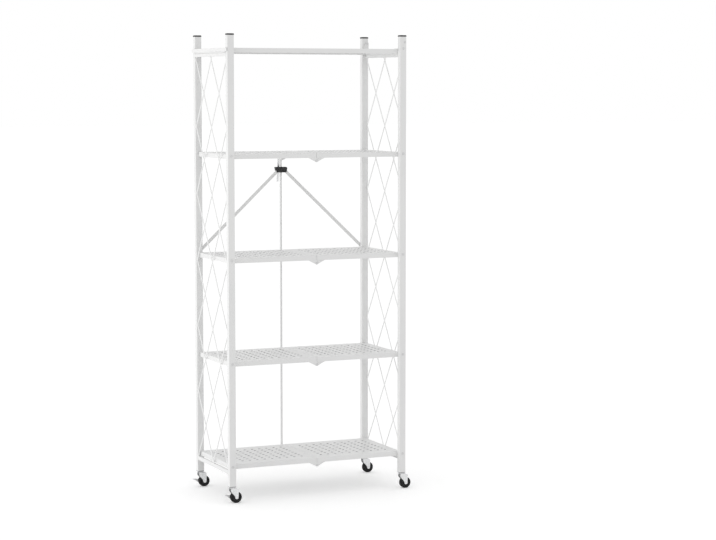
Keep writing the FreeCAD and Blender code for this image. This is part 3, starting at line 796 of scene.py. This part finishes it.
def fork_edges(heights, axle, left_reach, right_reach):
    """Left and right edge at each height. The foot's half circle is sqrt(1 - drop squared)
    wide. Above it the edges spread smoothly, and the shoulders draw them in like a quarter
    ellipse."""
    drop = np.clip((axle[2] - heights) / foot_radius, 0, 1)
    half_foot = foot_radius * np.sqrt(1 - drop ** 2)
    share = np.clip((heights - axle[2]) / (fork_top - shoulder_height - axle[2]), 0, 1)
    spread_share = share * share * (3 - 2 * share)
    near_top = np.clip((heights - fork_top + shoulder_height) / shoulder_height, 0, 1)
    drawn_in = 1 - np.sqrt(1 - near_top ** 2)
    left = axle[0] - half_foot + (left_reach - axle[0] + foot_radius) * spread_share
    right = axle[0] + half_foot + (right_reach - axle[0] - foot_radius) * spread_share
    return left + shoulder_left * drawn_in, right - shoulder_right * drawn_in


print("forks reach up to", fork_top)

# %% [markdown]
# ## Skins of a fork
# Across the path the points lie between the two edges. The outer and the inner skin are two
# such sheets, joined at their edges, because a Solidify modifier would thicken the rounded
# foot unevenly.

# %% Bent forks
skin_steps = 26
fork_left_inset = 1.0
fork_right_outset = 0.9


def fork_surface(post):
    """Outer and inner skin: the point at share s lies between the left and the right edge at
    its height, and the inner skin's path is the outer one, held one thickness inside."""
    low, high = node_box(f"{post}_fork")
    wheel_low, wheel_high = node_box(f"{post}_wheel")
    axle = (wheel_low + wheel_high) / 2
    cheek = (high[1] - low[1]) / 2
    half = fork_path(axle[2], cheek)
    path = np.concatenate([half, (half * (-1, 1))[-2::-1]])
    left, right = fork_edges(path[:, 1], axle, low[0] + fork_left_inset,
                             high[0] + fork_right_outset)
    share = np.linspace(0, 1, skin_steps)[None, :]
    x = left[:, None] * (1 - share) + right[:, None] * share
    inside = np.column_stack([
        np.clip(path[:, 0], sheet_thickness - cheek, cheek - sheet_thickness),
        np.minimum(path[:, 1], fork_top - sheet_thickness)])
    outer_skin, inner_skin = (
        np.stack([x, np.repeat(line[:, :1] + axle[1], skin_steps, axis=1),
                  np.repeat(line[:, 1:], skin_steps, axis=1)], axis=-1)
        for line in (path, inside))
    return np.concatenate([outer_skin, inner_skin[:, ::-1]], axis=1)


for post in posts:
    surface(f"{post}_fork_shell", fork_surface(post), zinc_plate, f"{post}_caster",
            replaced=[f"{post}_fork"])
print("forks made")

# %% [markdown]
# ## Ball races
# Between the fork and the post sits a pressed cup that holds the swivel's balls. It is round,
# so a turned profile makes it: a rolled lower lip, a waist and a smaller upper ring.

# %% Ball races
race_steps = 48
race_profile = np.concatenate([
    [[3.9, 51.6], [8.4, 51.6], [9.2, 52.6]],
    arc((8.8, 53.1), 0.62, -40, 80, 6),
    [[8.55, 53.8], [8.35, 54.2], [8.75, 54.5]],
    arc((8.5, 55.0), 0.55, -20, 80, 5),
    [[7.6, 55.68], [3.9, 55.68]],
])
for post, (_, x, y) in posts.items():
    race = turned(race_profile, race_steps, (x, y, 0), "z")
    surface(f"{post}_ball_race", race, zinc_plate, f"{post}_caster", ring=True)
print("ball races made")

# %% [markdown]
# ## Axle nuts
# Each axle ends in a six-sided nut. A cylinder with six sides would have knife edges, so the
# radius follows the angle instead: it is the flat's distance divided by the cosine of the
# angle from the nearest flat, and the end is closed by a low dome.

# %% Nuts
nut_flat = 4.7
nut_height = 1.25
nut_sunk = 1.2
nut_sides = 6
nut_steps = 60
round_below = 0.9
nut_profile = np.array([
    [0.0, 0.0], [1.0, 0.0], [1.0, 0.72], [0.93, 0.86], [0.62, 0.92], [0.55, 1.12], [0.3, 1.3],
    [0.0, 1.36],
])


def nut_surface(centre, start_y, sign_y):
    """Rows of the profile, as shares of the radius and of the height. On the six-sided part
    the radius is flat / cos(angle from the nearest flat's middle), and on the dome it is the
    flat's distance alone."""
    angle = around(nut_steps)
    half_side = math.pi / nut_sides
    from_flat = (angle + half_side) % (2 * half_side) - half_side
    share, rise = nut_profile[:, :1], nut_profile[:, 1:]
    radius = share * np.where(share < round_below, nut_flat, nut_flat / np.cos(from_flat))
    out = np.repeat(rise * nut_height, nut_steps, axis=1)
    return np.stack([centre[0] + radius * np.cos(angle), start_y + sign_y * out,
                     centre[2] + radius * np.sin(angle)], axis=-1)


for post in posts:
    low, high = node_box(f"{post}_axle")
    centre = (low + high) / 2
    nuts = np.stack([nut_surface(centre, low[1] + nut_sunk, -1),
                     nut_surface(centre, high[1] - nut_sunk, 1)])
    surface(f"{post}_axle_nuts", nuts, zinc_plate, f"{post}_caster")
print("axle nuts made")

# %% [markdown]
# ## Flat plates with soft edges
# The brake pedal's side plate, the slider's cover and the top hinge's brackets are all flat
# plates. An outline is carried through the plate's thickness and drawn in a little at both
# faces, which rounds the edges as paint and moulding do. Each face ends in its middle point.

# %% Plate helper
plate_edge = 0.35


def plate_surface(outline, middle, y_from, y_to, edge):
    """Rows of one outline (x, z) along Y: middle point, outline drawn in by the edge's width,
    full outline twice, drawn in again, and middle point."""
    outline = np.asarray(outline, float)
    middle = np.asarray(middle, float)
    out = outline - middle
    drawn = middle + out * (1 - edge / np.linalg.norm(out, axis=1, keepdims=True))
    pole = np.repeat(middle[None], len(outline), axis=0)
    step = math.copysign(edge, y_to - y_from)
    rows = [(pole, y_from), (drawn, y_from), (outline, y_from + step), (outline, y_to - step),
            (drawn, y_to), (pole, y_to)]
    return np.stack([np.column_stack([line[:, 0], np.full(len(line), y), line[:, 1]])
                     for line, y in rows])


def divided(corners, steps):
    """Closed outline with each side between two corners cut into equal steps."""
    corners = np.asarray(corners, float)
    share = np.arange(steps)[None, :, None] / steps
    following = np.roll(corners, -1, axis=0)
    return (corners[:, None] * (1 - share) + following[:, None] * share).reshape(-1, 2)


print("plate edges are rounded by", plate_edge, "mm")

# %% [markdown]
# ## Grips of the brake pedals
# A pedal is a stamped channel: a tread for the shoe and a side plate that stiffens it. The
# tread gets a row of small waves for grip. A bump in the material would do from afar, but the
# waves should catch the light close up, so they are shape.

# %% Waved grip
grip_waves = 5
grip_height = 0.9
grip_sunk = 0.4
wave_steps = 8
pad_columns = 9
wave_fullness = 0.6
end_fullness = 0.25


def waved_pad(low, high):
    """Pad on a box's upper face: the height is a row of half sine waves along X, and falls to
    nothing at the pad's edges. The underside is flat and sunk into the box."""
    u = np.linspace(0, 1, grip_waves * wave_steps + 1)[:, None]
    v = np.linspace(0, 1, pad_columns)[None, :]
    waves = np.abs(np.sin(grip_waves * math.pi * u)) ** wave_fullness
    lift = grip_height * waves * np.sin(math.pi * v) ** end_fullness
    x = low[0] + (high[0] - low[0]) * u + 0 * v
    y = low[1] + (high[1] - low[1]) * v + 0 * u
    top = np.stack([x, y, high[2] + lift], axis=-1)
    under = np.stack([x, y, np.full(x.shape, high[2] - grip_sunk)], axis=-1)
    return np.concatenate([top, under[:, ::-1]], axis=1)


print("waves of a grip:", grip_waves)

# %% [markdown]
# ## Pedals
# The side plate deepens towards the wheel and then draws in. It is a flat outline with few
# corners, so the plate helper makes it, a hair proud of the CAD pedal's own flank. The grip
# lies on the tread and leaves its edges free.

# %% Grips and side plates
grip_start = 0.8
grip_end = 11.2
grip_from_plate = 2.2
grip_from_edge = 0.8
side_plate_thickness = 1.6
side_plate_proud = 0.04
side_plate_middle = (18.0, 19.0)
side_plate_outline = np.array([[0.3, 25.7], [0.6, 24.2], [4.0, 22.6], [8.5, 20.2], [12.5, 17.0],
                               [16.0, 14.6], [20.5, 13.6], [24.0, 14.6], [25.0, 18.0],
                               [24.0, 23.0], [20.0, 25.6], [10.0, 25.8]])
for end in ends:
    low, high = node_box(f"left_{end}_brake_pedal")
    pad = waved_pad((low[0] + grip_start, low[1] + grip_from_plate),
                    (low[0] + grip_end, high[1] - grip_from_edge, high[2]))
    surface(f"left_{end}_pedal_grip", pad, zinc_plate, f"left_{end}_pedal")
    plate_middle = (low[0] + side_plate_middle[0], side_plate_middle[1])
    plate = plate_surface(side_plate_outline + (low[0], 0), plate_middle,
                          low[1] - side_plate_proud, low[1] + side_plate_thickness, plate_edge)
    surface(f"left_{end}_pedal_side_plate", plate, dull_zinc, f"left_{end}_pedal")
print("pedals dressed")

# %% [markdown]
# ## Slider cover
# The black slider hides the upper ends of both braces, so that no finger gets between them.
# When the unit is folded, its posts close in right before the braces, so the cover in front
# of them can only be a thin moulded skin. A bridge above the braces joins it to the slider.

# %% Skin and bridge
hub_low, hub_high = node_box("slider_hub")
cover_overhang = 0.5
cover_drop = 1.6
cover_taper = 2.6
cover_corner = 3.0
cover_half_width = (hub_high[0] - hub_low[0]) / 2 + cover_overhang
cover_top = hub_high[2] - cover_drop
cover_bottom = hub_low[2] - cover_drop
skin_gap = 0.06
skin_thickness = 0.18
skin_edge = 0.08
skin_front = post_outer_y + skin_gap
skin_back = skin_front + skin_thickness
bridge_height = 3.6
bridge_corner = 1.2
bridge_inset = 0.1
bridge_sunk = 0.3
bridge_bottom = cover_top - bridge_height
quarter_steps = 8

skin_outline = tapered_outline(cover_half_width, cover_half_width - cover_taper, cover_bottom,
                               cover_top, cover_corner, quarter_steps)
skin = plate_surface(skin_outline, (0.0, (cover_top + cover_bottom) / 2), skin_front, skin_back,
                     skin_edge)
surface("slider_cover", skin, slider_plastic, "hub")
bridge_half = cover_half_width - cover_corner
bridge_outline = tapered_outline(bridge_half, bridge_half, bridge_bottom,
                                 cover_top - bridge_inset, bridge_corner, quarter_steps)
bridge = plate_surface(bridge_outline, (0.0, (cover_top + bridge_bottom) / 2), skin_back,
                       hub_low[1] + bridge_sunk, plate_edge)
surface("slider_bridge", bridge, slider_plastic, "hub")
for place in frame["nodes"]["slider_hub"].material_slots:
    place.material = slider_plastic
print("slider cover from", round(cover_bottom, 1), "to", round(cover_top, 1))

# %% [markdown]
# ## Brackets of the top hinge
# The top shelf turns on two brackets beside the right posts. The real ones rise steeply, close
# behind the posts, so almost nothing of them shows from the front. Each is a plate whose
# flank runs from its foot to the eye around the pin, with a low foot on the shelf.

# %% Hinge brackets
ear_low, ear_high = node_box("top_shelf_hinge_ears")
eye_radius = 6.5
eye_x = ear_high[0] - eye_radius
eye_z = ear_high[2] - eye_radius
eye_turn = 165
eye_steps = 18
bracket_reach = 11.0
bracket_sunk = 0.2
bracket_thickness = 1.5
bracket_left = half_x - bracket_reach
bracket_bottom = ear_low[2] - bracket_sunk
waist_place = (3.4, 9.0)
pole_offset = (3.0, 8.0)
flank = [[bracket_left, bracket_bottom], [ear_high[0], bracket_bottom], [ear_high[0], eye_z]]
flank_steps = 6
bracket_outline = np.concatenate([
    divided(flank, flank_steps)[:2 * flank_steps],
    arc((eye_x, eye_z), eye_radius, 0, eye_turn, eye_steps),
    [[bracket_left + waist_place[0], ear_low[2] + waist_place[1]]],
])


def bracket(sign):
    """The plate's outline from the outer face of the ears inwards, on one side of the shelf."""
    return plate_surface(bracket_outline, (eye_x - pole_offset[0], eye_z - pole_offset[1]),
                         sign * ear_high[1], sign * (ear_high[1] - bracket_thickness),
                         plate_edge)


brackets = np.stack([bracket(sign) for sign in ends.values()])
surface("top_hinge_brackets", brackets, frame_coat, "top_shelf",
        replaced=["top_shelf_hinge_ears"])
print("hinge brackets from x", round(bracket_left, 1), "to", round(ear_high[0], 1))

# %% [markdown]
# ## Feet of the brackets
# Each bracket is welded to the shelf by a low foot with round corners. The plate helper makes
# this as well: its rows are laid down, so that the plate's thickness points up.

# %% Bracket feet
foot_width = 9.0
foot_corner = 2.0
foot_outline = rounded_rectangle((ear_high[0] - ear_low[0]) / 2, foot_width / 2, foot_corner)
foot_middle = np.array([(ear_low[0] + ear_high[0]) / 2, ear_high[1] - foot_width / 2])


def bracket_foot(sign):
    """The plate helper's rows, laid down: its Y becomes the height above the shelf."""
    rows = plate_surface(foot_outline, (0.0, 0.0), bracket_thickness, -bracket_sunk, plate_edge)
    x = rows[..., 0] + foot_middle[0]
    y = sign * (rows[..., 2] + foot_middle[1])
    return np.stack([x, y, rows[..., 1] + ear_low[2]], axis=-1)


feet = np.stack([bracket_foot(sign) for sign in ends.values()])
surface("top_hinge_feet", feet, frame_coat, "top_shelf")
print("feet of the brackets made")

# %% [markdown]
# ## Floor
# The floor is a wide pale plane. To the camera it adds a plain white on top of what the lamps
# give, so that it reads as a white sheet and still keeps the unit's soft shadow. The Light
# Path node tells which kind of ray asks, so this white lights nothing else.

# %% Floor
floor_reach = 60.0
floor_colour = (0.93, 0.93, 0.93)
floor_white = 0.24


def seen_directly(tree):
    """1 for camera, glossy and transmission rays, and 0 for the rays that carry light."""
    path = tree.nodes.new("ShaderNodeLightPath")
    shown = calculate(tree, "MAXIMUM", path.outputs["Is Camera Ray"],
                      path.outputs["Is Glossy Ray"])
    return calculate(tree, "MAXIMUM", shown, path.outputs["Is Transmission Ray"])


floor_material = bpy.data.materials.new("studio_floor")
floor_material.use_nodes = True
floor_tree = floor_material.node_tree
floor_tree.nodes.clear()
floor_paint = new_node(floor_tree, "ShaderNodeBsdfDiffuse", {"Color": floor_colour})
floor_level = calculate(floor_tree, "MULTIPLY", seen_directly(floor_tree), floor_white)
floor_glow = new_node(floor_tree, "ShaderNodeEmission", {"Strength": floor_level})
floor_sum = new_node(floor_tree, "ShaderNodeAddShader", {
    0: floor_paint.outputs[0], 1: floor_glow.outputs[0]})
new_node(floor_tree, "ShaderNodeOutputMaterial", {"Surface": floor_sum.outputs[0]})

floor_mesh = bpy.data.meshes.new("studio_floor")
floor_mesh.from_pydata([(-floor_reach, -floor_reach, 0), (floor_reach, -floor_reach, 0),
                        (floor_reach, floor_reach, 0), (-floor_reach, floor_reach, 0)], [],
                       [(0, 1, 2, 3)])
floor_mesh.materials.append(floor_material)
floor = add_object("studio_floor", floor_mesh)
print("floor of", 2 * floor_reach, "m made")

# %% [markdown]
# ## World
# The world is pale grey as a light and white to the camera. Reflections and transmitted light
# see the same white as the camera, so plated parts show the white room.

# %% World
world = bpy.data.worlds.new("studio_world")
bpy.context.scene.world = world
world.use_nodes = True
world_tree = world.node_tree
world_colour = (1.0, 1.0, 1.0)
world_ambient = 0.85
world_level = spread(world_tree, seen_directly(world_tree), world_ambient, 1.0, start=0, end=1)
fill_inputs(world_tree, world_tree.nodes["Background"], {
    "Color": world_colour, "Strength": world_level})
print("world lights at", world_ambient)

# %% [markdown]
# ## Lamps
# The photograph is lit softly from the left: the left-facing sides are nearly white, also
# right under a shelf, and the tops and fronts are a little darker, as bright at the rear as at
# the front. So the key is a wide softbox at the left that stands on the floor and is as tall
# as the unit. A weaker one in front lifts the fronts, and the world fills the rest. Both are
# hidden from the camera and from reflections, where they would show as bright patches.

# %% Softboxes
grid_angle = math.radians(80)
unit_middle = (0.0, 0.0, 0.85)


def softbox(name, place, width, height, level):
    """Area lamp turned to the unit's middle, with a grid that keeps its light off the floor
    beside it. Its power is pi times the distance squared times the level."""
    lamp = bpy.data.lights.new(name, "AREA")
    lamp.shape = "RECTANGLE"
    lamp.size = width
    lamp.size_y = height
    lamp.spread = grid_angle
    away = Vector(unit_middle) - Vector(place)
    lamp.energy = math.pi * away.length ** 2 * level
    holder = add_object(name, lamp)
    holder.location = place
    holder.rotation_euler = away.to_track_quat("-Z", "Y").to_euler()
    holder.visible_camera = False
    holder.visible_glossy = False


softbox("key_lamp", (-8.0, 0.1, 0.92), width=4.5, height=1.75, level=0.183)
softbox("fill_lamp", (1.4, -8.0, 0.92), width=5.0, height=1.75, level=0.007)
print("lamps made")

# %% [markdown]
# ## Camera
# The camera was fitted to the photograph from the caps, the wheels' contacts and the shelf
# edges: it stands about 7 m away, at the height of the top bay, and looks slightly down.

# %% Camera
camera_place = (-2.757, -6.606, 1.428)
camera_yaw = math.radians(24.29)
camera_pitch = math.radians(5.20)
picture_width = 716
focal_pixels = 2036.0
camera_data = bpy.data.cameras.new("photo_camera")
camera_data.sensor_fit = "HORIZONTAL"
camera_data.lens = focal_pixels / picture_width * camera_data.sensor_width
camera_data.clip_start = 0.1
camera_data.clip_end = 200.0
camera = add_object("photo_camera", camera_data)
camera.location = camera_place
camera.rotation_euler = (math.pi / 2 - camera_pitch, 0.0, -camera_yaw)
bpy.context.scene.camera = camera
bpy.context.scene.view_settings.view_transform = "Standard"
print("camera lens", round(camera_data.lens, 1), "mm")
